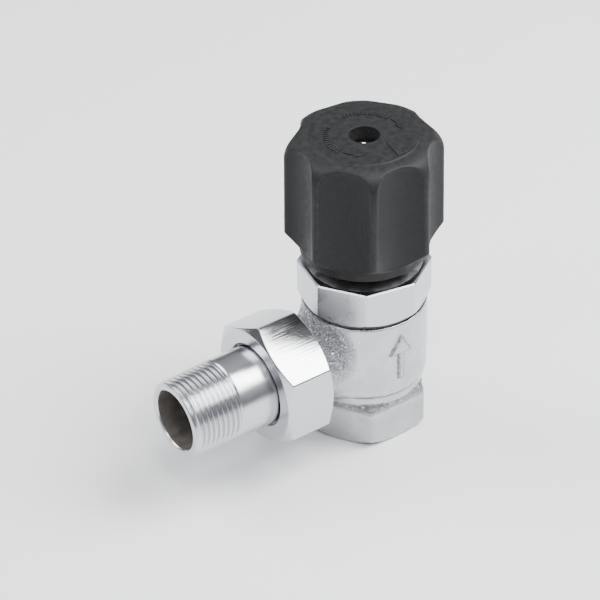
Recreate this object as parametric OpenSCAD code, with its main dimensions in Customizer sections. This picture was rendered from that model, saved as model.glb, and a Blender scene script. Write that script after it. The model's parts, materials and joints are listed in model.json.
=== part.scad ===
// Angle-pattern needle valve, DN 20 (3/4 inch), with a union tailpiece on its outlet.
//
// Frame: origin at the centre of the inlet face, +Z up along the stem, outlet along -X.
// The valve is drawn fully open, with the union nut tightened.

/* [Inlet boss] */
// Width across the flats of the hexagonal inlet boss
boss_af = 37; // [34:0.5:39]
// Height of the boss corners
boss_corner_h = 12.9; // [11:0.1:14]
// Wall radius of the tapped inlet, which is the Rc 3/4 minor radius
inlet_r = 12.06; // [11.5:0.01:12.5]
// Tapped depth of the inlet
inlet_depth = 16; // [14:0.5:16.2]

/* [Body] */
// Radius of the cast body barrel
barrel_r = 20.5; // [20.3:0.1:22]
// Height of the body's top face
barrel_top = 47.5; // [47:0.1:49]
// Radius of the body where it meets the boss
barrel_foot_r = 18.5; // [17.5:0.1:19]
// Height of the outlet axis above the inlet face
outlet_z = 30.4; // [29:0.1:32]
// Radius of the flow passage in the outlet spigot
outlet_bore_r = 9; // [8:0.1:9.2]
// Outer radius of the cast outlet neck
neck_r = 13.8; // [13:0.1:15]
// Distance from the stem axis to the end face of the outlet spigot
spigot_len = 36.9; // [36:0.1:37.5]

/* [Union] */
// Major radius of the G 1 union thread
union_thread_r = 16.52; // [16:0.01:16.6]
// Pitch of the G 1 union thread
union_pitch = 2.309; // [2:0.001:2.5]
// Width across the flats of the union nut
nut_af = 38.5; // [37:0.5:41]
// Distance from the stem axis to the back face of the nut
nut_back = 26.4; // [26:0.1:27]
// Distance from the stem axis to the front face of the nut
nut_front = 44.1; // [43.8:0.1:46]
// Turn of the nut hexagon about the outlet axis
nut_turn = 58; // [0:1:60]

/* [Tailpiece] */
// Distance from the stem axis to the free end of the tailpiece
tail_end = 74.8; // [70:0.1:80]
// Outer radius of the plain part of the tailpiece
tail_r = 13.45; // [13.4:0.01:13.8]
// Bore radius of the tailpiece
tail_bore_r = 10.1; // [9.5:0.1:10.5]
// Gauge radius of the R 3/4 pipe thread
pipe_thread_r = 13.22; // [13:0.01:13.3]
// Pitch of the R 3/4 pipe thread
pipe_pitch = 1.814; // [1.5:0.001:2]
// Number of thread turns on the tailpiece
pipe_turns = 9; // [6:1:9]

/* [Bonnet] */
// Width across the flats of the octagonal bonnet
bonnet_af = 40.2; // [39:0.1:41]
// Height of the bonnet's top face
bonnet_top = 61.55; // [60:0.05:62]
// Turn of the octagon's corners about the stem
bonnet_turn = 10.5; // [0:0.5:45]
// Thickness of the bonnet gasket
gasket_t = 0.9; // [0.6:0.1:1.2]
// Radius of the bonnet thread in the body
bonnet_thread_r = 18; // [17:0.1:18.2]

/* [Stem and plug] */
// Lift of the plug between closed and fully open
lift = 4.5; // [3:0.1:4.5]
// Radius of the stem in its packing
stem_r = 4.5; // [4:0.1:4.6]
// Major radius of the stem's drive thread
drive_r = 6; // [5.5:0.1:6.2]
// Bore radius of the seat
seat_bore_r = 8.5; // [8:0.1:8.8]
// Height of the seat's sealing edge
seat_top = 24; // [23.5:0.1:24.5]

/* [Handwheel] */
// Radius over the lobes of the handwheel, at its skirt
wheel_r = 25.6; // [25.4:0.1:28]
// Radius at the bottom of the grip flutes
flute_floor_r = 20.9; // [20.7:0.1:22]
// Turn of the lobes about the stem at rest
wheel_turn = 15; // [0:1:45]
// Number of grip flutes
flutes = 8; // [6:1:10]
// Height of the lower edge of the handwheel's skirt
skirt_z = 66.6; // [66:0.1:68]
// Height of the flat top of the handwheel
wheel_top = 108.4; // [107:0.1:110]
// Radius of the flat top
wheel_face_r = 17.4; // [16:0.1:18]
// Radius of the screw hole in the top
screw_hole_r = 4.85; // [4.7:0.05:5]
// Height of the raised marks on the top
mark_h = 0.4; // [0.2:0.1:0.6]

/* [Hidden] */
$fn = 96;

e = 0.01;                 // depth by which a cutter passes a face
run = 0.06;               // radial clearance of every running fit
screwed = 0.03;           // radial gap of every screwed joint inside the valve
seal_gap = 0.1;           // gap left at the seat when the valve is closed

boss_corner_r = boss_af / 2 / cos(30);
boss_chamfer_h = 2;       // height of the turned chamfer under the boss's corners
boss_top_h = 15;          // height where the boss meets the barrel's foot
barrel_round_z = 21.5;    // height where the barrel starts to round in
arrow_az = 268;           // direction of the cast flow arrow, from +X
arrow_h = 0.8;            // height of the arrow above the barrel
arrow_z = 26;             // lower end of the arrow
arrow_head_z = 36;        // base of its head
arrow_tip_z = 43;

floor_z = 21.2;           // floor of the valve chamber
chamber_r = 17.2;
socket_z = 38.5;          // lower end of the bonnet thread
seat_r = 11;              // radius of the seat ring's screwed part
seat_flange_r = 13;
seat_flange_t = 1.5;
seat_nose_r = 10;
seat_start = inlet_depth + 0.4;

seal_t = 1.5;             // thickness of the union seal
tail_flange_t = 2.8;
tail_face = spigot_len + seal_t;
nut_seat = tail_face + tail_flange_t + seal_gap;
nut_bore_r = union_thread_r + 0.08;
nut_hole_r = 14.1;
nut_chamfer_r = 18.9;     // radius of the flat ring on each face of the nut
union_thread_start = nut_back + 1.4;

flange_z = barrel_top + gasket_t;
bonnet_corner_r = bonnet_af / 2 / cos(22.5);
bonnet_rim_r = bonnet_af / 2;
bonnet_chamfer_h = 1.6;   // height of the turned chamfer under the corners
bonnet_bevel = 0.55;      // bevel round the top edge
cavity_r = 12.2;          // hollow of the bonnet above the disc holder
backseat_z = 43;
packing_z = 52.5;         // floor of the packing chamber
packing_r = 8;
ring_t = 1.4;             // thickness of one packing ring
ring_count = 3;
washer_t = 0.8;
gland_z = 59;             // lower end of the gland nut
gland_r = 9;
gland_af = 19;
gland_top = 65.2;
dust_groove_z = 63.4;

disc_bottom = seat_top + seal_gap + lift;
disc_t = 2.8;
disc_r = 10.2;
holder_r = 11;
holder_hub_r = 6.5;
holder_top = disc_bottom + 11.4;
holder_rim_z = disc_bottom + 0.8;
holder_flange_top = disc_bottom + 5;
swivel_r = 3.5;           // radius of the stem's swivel end
swivel_z = disc_bottom + 5.8;
clip_z = disc_bottom + 8.4;
clip_r = 3.6;             // radius of the clip's centre line
clip_wire_r = 0.45;
stud_r = 2.5;
stud_bottom = disc_bottom - 6.3;
needle_top = disc_bottom - washer_t;
needle_tip = disc_bottom - 11.2;

collar_z = 40.5;          // back-seat collar on the stem
collar_top = backseat_z - 0.4;
collar_r = 8;
drive_top = packing_z - 0.5;
hub_z = 70.2;             // lower end of the handwheel's hub
insert_z = 77;            // lower end of the handwheel's brass insert
square_z = insert_z - 0.2;
square_af = 6.3;
stem_top = 98;
screw_r = 2.5;
screw_bottom = 88;
insert_r = 6.5;
hole_floor = 99;          // floor of the screw hole in the handwheel
spring_t = 1.2;
head_h = 2.6;
head_r = 4.3;
hub_r = 9.2;
wheel_top_r = wheel_r - 0.4;  // radius over the lobes at the top, where the draft has narrowed them
shoulder_r = 6.5;         // round of the handwheel's shoulder
shoulder_top = wheel_top - 0.4;
wheel_inner_r = 18.3;
wheel_ceiling = 104.5;
flute_cut_r = 15;
rib_z = 97;               // lower edge of the ribs between hub and skirt
marks_r = 12.6;           // outer radius of the curved arrows on the handwheel's face
mark_w = 0.75;            // width of an arrow's shaft
mark_arc = 18;            // angle that a shaft sweeps
open_mark_az = 201;       // directions in which the two shafts start
shut_mark_az = -9;

// Points its child's +Z along the outlet, from the stem axis.
module along_outlet() {
    translate([0, 0, outlet_z]) rotate([0, -90, 0]) children();
}

// Hollow cylinder between two heights.
module tube(z0, z1, r_out, r_in) {
    difference() {
        translate([0, 0, z0]) cylinder(h = z1 - z0, r = r_out);
        translate([0, 0, z0 - 1]) cylinder(h = z1 - z0 + 2, r = r_in);
    }
}

// V-shaped rings that are cut out of a round bar, in place of a helical thread.
module thread_grooves(z0, turns, pitch, r) {
    depth = 0.6 * pitch;
    rotate_extrude()
        for (i = [0 : turns - 1])
            translate([0, z0 + (i + 0.5) * pitch])
                polygon([[r + 0.2, -0.44 * pitch], [r + 0.2, 0.44 * pitch],
                         [r, 0.4 * pitch], [r - depth, 0.06 * pitch],
                         [r - depth, -0.06 * pitch], [r, -0.4 * pitch]]);
}

// Regular prism whose corners are turned down by a chamfer at the top, the bottom or both.
module chamfered_prism(z0, z1, sides, corner_r, face_r, low_h, high_h, angle) {
    big = corner_r + 0.01;
    intersection() {
        translate([0, 0, z0]) rotate(angle) cylinder(h = z1 - z0, r = corner_r, $fn = sides);
        rotate_extrude()
            polygon([[0, z0], [low_h > 0 ? face_r : big, z0], [big, z0 + low_h],
                     [big, z1 - high_h], [high_h > 0 ? face_r : big, z1], [0, z1]]);
    }
}

// Flow arrow that stands proud of the barrel.
module flow_arrow() {
    half_shaft = 1.1;
    half_head = 4.2;
    rotate(arrow_az)
        intersection() {
            tube(arrow_z - 1, arrow_tip_z + 1, barrel_r + arrow_h, barrel_r - 1);
            translate([barrel_r - 2, 0, 0]) rotate([90, 0, 90])
                linear_extrude(height = 4)
                    polygon([[-half_shaft, arrow_z], [half_shaft, arrow_z], [half_shaft, arrow_head_z],
                             [half_head, arrow_head_z], [0, arrow_tip_z], [-half_head, arrow_head_z],
                             [-half_shaft, arrow_head_z]]);
        }
}

module body_outside() {
    chamfered_prism(0, boss_corner_h, 6, boss_corner_r, boss_af / 2, boss_chamfer_h, 0, 0);
    intersection() {
        cylinder(h = boss_top_h, r = boss_corner_r, $fn = 6);
        translate([0, 0, boss_corner_h])
            cylinder(h = boss_top_h - boss_corner_h, r1 = boss_corner_r, r2 = barrel_foot_r);
    }
    translate([0, 0, boss_corner_h]) cylinder(h = boss_top_h - boss_corner_h + e, r = barrel_foot_r);
    rotate_extrude()
        polygon([[0, boss_top_h], [barrel_foot_r, boss_top_h], [barrel_foot_r + 0.9, boss_top_h + 1.6],
                 [barrel_r - 0.7, barrel_round_z - 1.6], [barrel_r, barrel_round_z],
                 [barrel_r, barrel_top], [0, barrel_top]]);
    along_outlet() {
        cylinder(h = union_thread_start + e, r = neck_r);
        translate([0, 0, union_thread_start])
            cylinder(h = spigot_len - union_thread_start, r = union_thread_r);
    }
    flow_arrow();
}

module body() {
    color("silver")
        difference() {
            body_outside();
            translate([0, 0, -1]) cylinder(h = inlet_depth + 1, r = inlet_r);
            cylinder(h = floor_z + 1, r = seat_r);
            translate([0, 0, floor_z]) cylinder(h = socket_z - floor_z + e, r = chamber_r);
            translate([0, 0, socket_z]) cylinder(h = barrel_top - socket_z + 1, r = bonnet_thread_r);
            along_outlet() cylinder(h = spigot_len + 1, r = outlet_bore_r);
            along_outlet() thread_grooves(union_thread_start + 1, 3, union_pitch, union_thread_r);
        }
}

module seat_ring() {
    color("goldenrod")
        rotate_extrude()
            polygon([[seat_bore_r, seat_start], [seat_r - screwed, seat_start], [seat_r - screwed, floor_z],
                     [seat_flange_r, floor_z], [seat_flange_r, floor_z + seat_flange_t],
                     [seat_nose_r, floor_z + seat_flange_t], [seat_nose_r, seat_top - 0.5],
                     [seat_nose_r - 0.5, seat_top], [seat_bore_r + 0.3, seat_top],
                     [seat_bore_r, seat_top - 0.3]]);
}

module bonnet_gasket() {
    color("dimgray") tube(barrel_top, flange_z, bonnet_rim_r - 0.3, bonnet_thread_r + 0.1);
}

module bonnet() {
    bevel_z = bonnet_top - bonnet_bevel;
    color("silver")
        difference() {
            union() {
                translate([0, 0, socket_z]) cylinder(h = flange_z - socket_z + e, r = bonnet_thread_r - screwed);
                chamfered_prism(flange_z, bevel_z, 8, bonnet_corner_r, bonnet_rim_r, bonnet_chamfer_h, 0, bonnet_turn);
                translate([0, 0, bevel_z - e]) rotate(bonnet_turn)
                    cylinder(h = bonnet_bevel + e, r1 = bonnet_corner_r, r2 = bonnet_corner_r - bonnet_bevel, $fn = 8);
            }
            translate([0, 0, socket_z - 1]) cylinder(h = backseat_z - socket_z + 1, r = cavity_r);
            cylinder(h = bonnet_top, r = drive_r + run);
            translate([0, 0, packing_z]) cylinder(h = gland_z, r = packing_r);
            translate([0, 0, gland_z]) cylinder(h = gland_z, r = gland_r);
        }
}

module packing_washer() {
    color("goldenrod") tube(packing_z, packing_z + washer_t, packing_r, stem_r + run);
}

module packing_rings() {
    color("ivory")
        for (i = [0 : ring_count - 1])
            tube(packing_z + washer_t + i * ring_t, packing_z + washer_t + (i + 1) * ring_t - 0.02,
                 packing_r, stem_r + run);
}

module gland_follower() {
    color("goldenrod")
        tube(packing_z + washer_t + ring_count * ring_t, gland_z, packing_r, stem_r + run);
}

module gland_nut() {
    groove_r = stem_r + 1.9;
    groove_h = 1.8;
    color("#4a4640")
        difference() {
            union() {
                translate([0, 0, gland_z]) cylinder(h = bonnet_top - gland_z + e, r = gland_r - screwed);
                chamfered_prism(bonnet_top, gland_top, 6, gland_af / 2 / cos(30), gland_af / 2,
                                0, 0.8, 0);
            }
            translate([0, 0, gland_z - 1]) cylinder(h = gland_top, r = stem_r + run);
            translate([0, 0, dust_groove_z - groove_h / 2]) cylinder(h = groove_h, r = groove_r);
        }
}

module dust_ring() {
    wire_r = 0.89;
    color("black")
        rotate_extrude() translate([stem_r + run + wire_r, dust_groove_z]) circle(r = wire_r, $fn = 32);
}

module disc_holder() {
    groove_h = 1.1;
    color("goldenrod")
        difference() {
            union() {
                translate([0, 0, holder_rim_z]) cylinder(h = holder_flange_top - holder_rim_z, r = holder_r);
                translate([0, 0, holder_flange_top - e]) cylinder(h = holder_top - holder_flange_top, r = holder_hub_r);
            }
            translate([0, 0, holder_rim_z - 1]) cylinder(h = disc_bottom + disc_t - holder_rim_z + 1, r = disc_r);
            translate([0, 0, swivel_z - 0.05]) cylinder(h = holder_top, r = swivel_r + run);
            translate([0, 0, clip_z - groove_h / 2]) cylinder(h = groove_h, r = clip_r + clip_wire_r + 0.05);
        }
    color("goldenrod")
        translate([0, 0, stud_bottom]) cylinder(h = disc_bottom + disc_t - stud_bottom + e, r = stud_r);
}

module swivel_clip() {
    gap_angle = 24;
    color("silver")
        rotate(gap_angle / 2) rotate_extrude(angle = 360 - gap_angle)
            translate([clip_r, clip_z]) circle(r = clip_wire_r, $fn = 24);
}

module seal_disc() {
    color("black") tube(disc_bottom, disc_bottom + disc_t, disc_r, stud_r);
}

module disc_washer() {
    color("silver") tube(needle_top, disc_bottom, seat_bore_r - 0.7, stud_r);
}

module needle() {
    base_r = seat_bore_r - 0.9;
    color("silver")
        difference() {
            rotate_extrude()
                polygon([[0, needle_top], [base_r, needle_top], [base_r, needle_top - 1.2],
                         [base_r - 1, needle_top - 3.6], [base_r - 2.8, needle_top - 7],
                         [2.6, needle_tip + 0.9], [1.4, needle_tip], [0, needle_tip]]);
            translate([0, 0, stud_bottom - 0.3]) cylinder(h = needle_top - stud_bottom + 1, r = stud_r);
        }
}

module stem() {
    groove_h = 1.1;
    color("lightgray")
        difference() {
            union() {
                translate([0, 0, swivel_z]) cylinder(h = collar_z - swivel_z + e, r = swivel_r);
                translate([0, 0, collar_z]) cylinder(h = collar_top - collar_z, r = collar_r);
                translate([0, 0, collar_top - e]) cylinder(h = drive_top - collar_top, r = drive_r);
                translate([0, 0, drive_top - 2 * e]) cylinder(h = square_z - drive_top + 2 * e, r = stem_r);
                translate([0, 0, square_z - e])
                    linear_extrude(height = stem_top - square_z) square(square_af, center = true);
            }
            tube(clip_z - groove_h / 2, clip_z + groove_h / 2, swivel_r + 1, clip_r - clip_wire_r - 0.1);
            translate([0, 0, screw_bottom - 2]) cylinder(h = stem_top, r = screw_r);
        }
}

module wheel_outline() {
    polygon([[0, skirt_z], [flute_floor_r - 0.1, skirt_z], [flute_floor_r + 0.4, skirt_z + 3.1],
             [wheel_r, skirt_z + 7.1],
             for (a = [0 : 15 : 90])
                 [wheel_top_r - shoulder_r * (1 - cos(a)), shoulder_top - shoulder_r * (1 - sin(a))],
             [wheel_face_r, wheel_top - 0.3], [wheel_face_r - 0.3, wheel_top], [0, wheel_top]]);
}

// Band between two radii that sweeps anticlockwise from +X.
module arc_band(r_in, r_out, sweep) {
    steps = 18;
    polygon([for (i = [0 : steps]) r_out * [cos(sweep * i / steps), sin(sweep * i / steps)],
             for (i = [steps : -1 : 0]) r_in * [cos(sweep * i / steps), sin(sweep * i / steps)]]);
}

// Arrow head across the band at +X, which points anticlockwise for 1 and clockwise for -1.
module arrow_head(sense) {
    middle = marks_r - mark_w / 2;
    polygon([[middle - 1.3, 0], [middle + 1.3, 0], [middle, sense * 3]]);
}

// Two curved arrows of opposite sense, and a raised block as the index.
module wheel_marks() {
    translate([0, 0, wheel_top - e])
        linear_extrude(height = mark_h) {
            for (a = [open_mark_az, shut_mark_az]) rotate(a) arc_band(marks_r - mark_w, marks_r, mark_arc);
            rotate(open_mark_az + mark_arc) arrow_head(1);
            rotate(shut_mark_az) arrow_head(-1);
            polygon([[2.4, -8.3], [0.9, -16.3], [4.6, -16.1], [8, -14.9], [4.6, -8.6]]);
        }
}

module handwheel() {
    rib_t = 1.8;
    color("#2c2c2e")
        difference() {
            union() {
                difference() {
                    rotate_extrude() wheel_outline();
                    for (i = [0 : flutes - 1])
                        rotate(wheel_turn + (i + 0.5) * 360 / flutes)
                            translate([flute_floor_r + flute_cut_r, 0, skirt_z - 1])
                                cylinder(h = wheel_top, r = flute_cut_r);
                    translate([0, 0, skirt_z - 1]) cylinder(h = wheel_ceiling - skirt_z + 1, r = wheel_inner_r);
                }
                translate([0, 0, hub_z]) cylinder(h = wheel_top - hub_z - 1, r = hub_r);
                for (a = [0, 90, 180, 270]) rotate(a)
                    translate([hub_r - 1, -rib_t / 2, rib_z])
                        cube([wheel_inner_r - hub_r + 2, rib_t, wheel_ceiling - rib_z + 1]);
                wheel_marks();
            }
            translate([0, 0, hole_floor]) cylinder(h = wheel_top, r = screw_hole_r);
            translate([0, 0, hub_z - 1]) cylinder(h = hole_floor - hub_z + 1 + e, r = insert_r);
        }
}

module handwheel_insert() {
    color("goldenrod")
        difference() {
            translate([0, 0, insert_z]) cylinder(h = hole_floor - insert_z, r = insert_r);
            translate([0, 0, insert_z - 1])
                linear_extrude(height = hole_floor - insert_z + 2) square(square_af, center = true);
        }
}

module flat_washer() {
    color("silver") tube(hole_floor, hole_floor + washer_t, head_r + 0.3, screw_r + 0.1);
}

module spring_washer() {
    split_w = 0.8;
    color("silver")
        difference() {
            tube(hole_floor + washer_t, hole_floor + washer_t + spring_t, head_r - 0.2, screw_r + 0.1);
            translate([0, -split_w / 2, hole_floor]) cube([head_r + 1, split_w, washer_t + spring_t + 1]);
        }
}

module handwheel_screw() {
    head_z = hole_floor + washer_t + spring_t;
    recess_len = 4.4;
    recess_w = 1;
    color("silver")
        difference() {
            union() {
                translate([0, 0, screw_bottom]) cylinder(h = head_z - screw_bottom + e, r = screw_r);
                rotate_extrude()
                    polygon([[0, head_z], [head_r, head_z], [head_r, head_z + 1.4],
                             [head_r - 0.9, head_z + head_h - 0.3], [head_r - 2, head_z + head_h],
                             [0, head_z + head_h]]);
            }
            for (a = [0, 90]) rotate(a)
                translate([-recess_len / 2, -recess_w / 2, head_z + 0.8]) cube([recess_len, recess_w, head_h]);
        }
}

module tailpiece() {
    chamfer_h = 0.9;
    end_r = 12.3;
    thread_z = tail_end - pipe_turns * pipe_pitch - 1.1;
    color("silver")
        along_outlet()
            difference() {
                union() {
                    translate([0, 0, tail_face]) cylinder(h = tail_flange_t, r = union_thread_r + 0.02);
                    translate([0, 0, tail_face]) cylinder(h = thread_z - tail_face, r = tail_r);
                    translate([0, 0, thread_z - e])
                        cylinder(h = tail_end - thread_z - chamfer_h + e, r = pipe_thread_r);
                    translate([0, 0, tail_end - chamfer_h]) cylinder(h = chamfer_h, r1 = pipe_thread_r, r2 = end_r);
                }
                thread_grooves(thread_z, pipe_turns, pipe_pitch, pipe_thread_r);
                translate([0, 0, tail_face - 1]) cylinder(h = tail_end, r = tail_bore_r);
            }
}

module union_seal() {
    color("dimgray") along_outlet() tube(spigot_len, tail_face, union_thread_r - 1.1, tail_bore_r);
}

module union_nut() {
    corner_r = nut_af / 2 / cos(30);
    chamfer_h = (corner_r - nut_chamfer_r) * tan(30);
    color("gainsboro")
        along_outlet()
            difference() {
                chamfered_prism(nut_back, nut_front, 6, corner_r, nut_chamfer_r, chamfer_h, chamfer_h, nut_turn);
                translate([0, 0, nut_back - 1]) cylinder(h = nut_seat - nut_back + 1, r = nut_bore_r);
                cylinder(h = nut_front + 1, r = nut_hole_r);
            }
}

body();
seat_ring();
bonnet_gasket();
bonnet();
packing_washer();
packing_rings();
gland_follower();
gland_nut();
dust_ring();
disc_holder();
swivel_clip();
seal_disc();
disc_washer();
needle();
stem();
handwheel();
handwheel_insert();
flat_washer();
spring_washer();
handwheel_screw();
tailpiece();
union_seal();
union_nut();
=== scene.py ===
import json
import math

import bpy
import numpy as np
from mathutils import Matrix, Vector


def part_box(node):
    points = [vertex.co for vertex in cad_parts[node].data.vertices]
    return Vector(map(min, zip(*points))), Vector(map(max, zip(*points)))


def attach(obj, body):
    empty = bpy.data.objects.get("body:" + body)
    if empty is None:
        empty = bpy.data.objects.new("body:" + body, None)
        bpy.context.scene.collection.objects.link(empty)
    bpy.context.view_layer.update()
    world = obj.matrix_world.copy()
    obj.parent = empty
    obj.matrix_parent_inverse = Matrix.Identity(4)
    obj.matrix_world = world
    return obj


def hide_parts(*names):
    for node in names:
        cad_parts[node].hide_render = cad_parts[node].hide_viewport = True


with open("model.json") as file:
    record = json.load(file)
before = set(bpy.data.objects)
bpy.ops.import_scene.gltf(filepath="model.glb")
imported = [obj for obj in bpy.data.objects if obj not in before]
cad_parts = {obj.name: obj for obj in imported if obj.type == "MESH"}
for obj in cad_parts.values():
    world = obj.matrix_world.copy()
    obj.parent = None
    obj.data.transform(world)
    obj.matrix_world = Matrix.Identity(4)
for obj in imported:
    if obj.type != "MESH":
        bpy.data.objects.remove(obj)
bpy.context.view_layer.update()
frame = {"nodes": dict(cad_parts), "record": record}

# All sizes below are in millimetres, and a mesh is scaled to metres when it is made.
MM = 0.001
FULL_TURN = 2 * math.pi
X, Y, Z = 0, 1, 2


def span(node, axis):
    """Lowest and highest place of a CAD node along an axis, in millimetres."""
    low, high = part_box(node)
    return low[axis] / MM, high[axis] / MM


# ---------------------------------------------------------------- places, from the frame
# The outlet's axis points along -X, so a place along it is a distance in that direction.
barrel_top, flange_z = span("bonnet_gasket", Z)
bonnet_top = span("bonnet", Z)[1]
gland_top = span("gland_nut", Z)[1]
outlet_z = sum(span("union_nut", Z)) / 2
nut_front, nut_back = (-s for s in span("union_nut", X))
tail_end, tail_face = (-s for s in span("tailpiece", X))
spigot_end = -span("union_seal", X)[1]
screw_foot, screw_top = span("handwheel_screw", Z)
washer_z = span("flat_washer", Z)[0]
skirt_z = span("handwheel", Z)[0]
mark_h = 0.4
wheel_top = span("handwheel", Z)[1] - mark_h

# ---------------------------------------------------------------- sizes
# Body: inlet, hexagonal boss, barrel, and the crease between the barrel and the boss's shoulder.
inlet_depth = 16.0
inlet_crest_r = 12.06
inlet_root_r = 13.22
inlet_sleeve_r = 14.2
boss_apothem = 18.5
boss_corner_h = 12.9
boss_top_h = 15.0
foot_r = 18.5
barrel_r = 20.5
barrel_round_z = 21.5
crease_r = barrel_r - 1.0
crease_z = barrel_round_z - 2.2

# Body: hollows and outlet neck.
seat_r = 11.0
floor_z = 21.2
chamber_r = 17.2
socket_r = 18.0
socket_z = 38.5
outlet_bore_r = 9.0
neck_r = 13.8
neck_fillet_r = 5.5
union_thread_r = 16.5
union_thread_h = 1.3
union_pitch = 2.309
union_thread_start = nut_back + 1.4

# Casting texture: height of the soft lumps and of the grit, how far from the surface it is worked out,
# and where the rough patch on the neck begins. Then the flow arrow on the barrel.
pebble_height = 0.024
grit_height = 0.2
relief_reach = 1.5
neck_patch_x = 13.5
arrow_az = math.radians(268)
arrow_proud = 0.8
arrow_edge_r = 0.35
arrow_foot_z, arrow_neck_z, arrow_tip_z = 26, 36, 43
arrow_shaft, arrow_head = 1.1, 4.2

# Union nut and tailpiece.
nut_apothem = 19.25
nut_crown = 0.22
nut_bore_r = 16.6
nut_thread_h = 1.1
nut_hole_r = 14.1
nut_face_r = 18.9
nut_turn = math.radians(58)
tail_r = 13.45
tail_bore_r = 10.1
tail_flange_t = 2.8
pipe_pitch = 1.814
pipe_gauge_r = 13.22
pipe_gauge_length = 9.5
pipe_thread_length = 18.3
pipe_thread_h = 1.05
pipe_taper = 1 / 32

# Bonnet and gland nut.
bonnet_apothem = 20.1
bonnet_turn = math.radians(10.5)
bonnet_rim_r = 20.1
bonnet_chamfer_h = 1.6
bonnet_bevel = 0.42
turned_face_r = 19
gland_bore_r = 9.0
stem_hole_r = 4.56

# Handwheel: outside, flutes, hollow and hub.
wheel_r = 25.6
wheel_top_r = 25.2
wheel_face_r = 17.4
wheel_turn = math.radians(15)
shoulder_r = 6.5
shoulder_top = wheel_top - 0.4
flutes = 8
columns_per_flute = 56
flute_floor_r = 20.9
flute_cut_r = 15.0
screw_hole_r = 4.85
wheel_inner_r = 18.3
ceiling_z = 104.5
hub_r = 9.2
hub_bore_r = 6.5
hub_z = 70.2

# Handwheel screw.
screw_shank_r = 2.5
screw_head_h = 2.6
screw_turn = math.radians(54.7)


# ---------------------------------------------------------------- blends
def fade_in(value, start, length):
    """Rises from 0 at a start to 1 after a length."""
    return np.clip((value - start) / length, 0, 1)


def fade_out(value, end, length):
    """Falls from 1 to 0 over the length before an end."""
    return np.clip((end - value) / length, 0, 1)


def band(value, centre, reach):
    """1 at a centre, falling to 0 at a reach from it."""
    return np.clip(1 - np.abs(value - centre) / reach, 0, 1)


def smooth_min(a, b, k):
    """The lesser of two, with a rounded join of width k."""
    h = np.maximum(k - np.abs(a - b), 0) / k
    return np.minimum(a, b) - h * h * k / 4


def smooth_max(a, b, k):
    """The greater of two, with a rounded join of width k."""
    return -smooth_min(-a, -b, k)


def polar(r, degrees):
    """Point at a radius and an angle."""
    a = math.radians(degrees)
    return r * math.cos(a), r * math.sin(a)


# ---------------------------------------------------------------- mesh tools
def make_object(name, vertices, faces, material, body, replaces=()):
    """A mesh object in the row frame, smooth shaded, that rides on a body."""
    mesh = bpy.data.meshes.new(name)
    mesh.from_pydata((np.asarray(vertices, float) * MM).tolist(), [], faces)
    mesh.validate()
    mesh.update()
    mesh.shade_smooth()
    mesh.materials.append(MATERIALS[material])
    obj = bpy.data.objects.new(name, mesh)
    bpy.context.scene.collection.objects.link(obj)
    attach(obj, body)
    if replaces:
        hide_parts(*replaces)
    return obj


def paint_faces(obj, material, chosen):
    """Gives a second material to the faces whose centre, in millimetres, is chosen."""
    obj.data.materials.append(MATERIALS[material])
    for face in obj.data.polygons:
        if chosen(face.center / MM):
            face.material_index = 1


def vertex_attribute(obj, name, values):
    """A number on each point of a mesh, for a material to read."""
    layer = obj.data.attributes.new(name, "FLOAT", "POINT")
    layer.data.foreach_set("value", np.asarray(values, np.float32))


def weighted_normals(obj):
    """Lets big flat faces set the shading normals, so that fillets carry all the turn."""
    modifier = obj.modifiers.new("weighted", "WEIGHTED_NORMAL")
    modifier.mode = "FACE_AREA"
    modifier.weight = 90
    modifier.keep_sharp = False


def fix_outward(obj):
    """Turns the faces of a closed mesh outwards."""
    mesh = obj.data
    points = np.empty(len(mesh.vertices) * 3)
    mesh.vertices.foreach_get("co", points)
    points = points.reshape(-1, 3)
    mesh.calc_loop_triangles()
    corners = np.empty(len(mesh.loop_triangles) * 3, int)
    mesh.loop_triangles.foreach_get("vertices", corners)
    a, b, c = (points[corners.reshape(-1, 3)[:, i]] for i in range(3))
    if np.einsum("ij,ij->i", a, np.cross(b, c)).sum() < 0:
        mesh.flip_normals()


def grid_faces(rows, columns):
    """Quads between closed rows of points, with the last row joined to the first."""
    faces = []
    for i in range(rows):
        a = i * columns
        b = (i + 1) % rows * columns
        for j in range(columns):
            k = (j + 1) % columns
            faces.append((a + j, b + j, b + k, a + k))
    return faces


def fillet_outline(corners, arc_steps=5, longest=4.0):
    """A closed outline through (r, z, fillet radius) corners, with round corners and no long step."""
    points = []
    count = len(corners)
    for i, (r, z, fillet) in enumerate(corners):
        here = np.array((r, z))
        back = np.array(corners[i - 1][:2]) - here
        ahead = np.array(corners[(i + 1) % count][:2]) - here
        u = back / np.linalg.norm(back)
        v = ahead / np.linalg.norm(ahead)
        half = math.acos(float(np.clip(u @ v, -1, 1))) / 2
        if fillet <= 0 or half > math.radians(89):
            points.append(here)
            continue
        reach = fillet / math.tan(half)
        reach = min(reach, 0.48 * np.linalg.norm(back), 0.48 * np.linalg.norm(ahead))
        fillet = reach * math.tan(half)
        centre = here + (u + v) / np.linalg.norm(u + v) * fillet / math.sin(half)
        start = here + u * reach - centre
        end = here + v * reach - centre
        sweep = math.atan2(start[0] * end[1] - start[1] * end[0], start @ end)
        for s in range(arc_steps + 1):
            a = sweep * s / arc_steps
            points.append(centre + np.array((start[0] * math.cos(a) - start[1] * math.sin(a),
                                             start[0] * math.sin(a) + start[1] * math.cos(a))))
    return subdivide(points, longest)


def subdivide(points, longest):
    """Adds points along a closed outline so that no step is longer than a length, or than longest(point)."""
    out = []
    count = len(points)
    for i in range(count):
        a, b = points[i], points[(i + 1) % count]
        limit = longest((a + b) / 2) if callable(longest) else longest
        steps = max(1, math.ceil(np.linalg.norm(b - a) / limit))
        out += [a + (b - a) * s / steps for s in range(steps)]
    return np.array(out)


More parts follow.
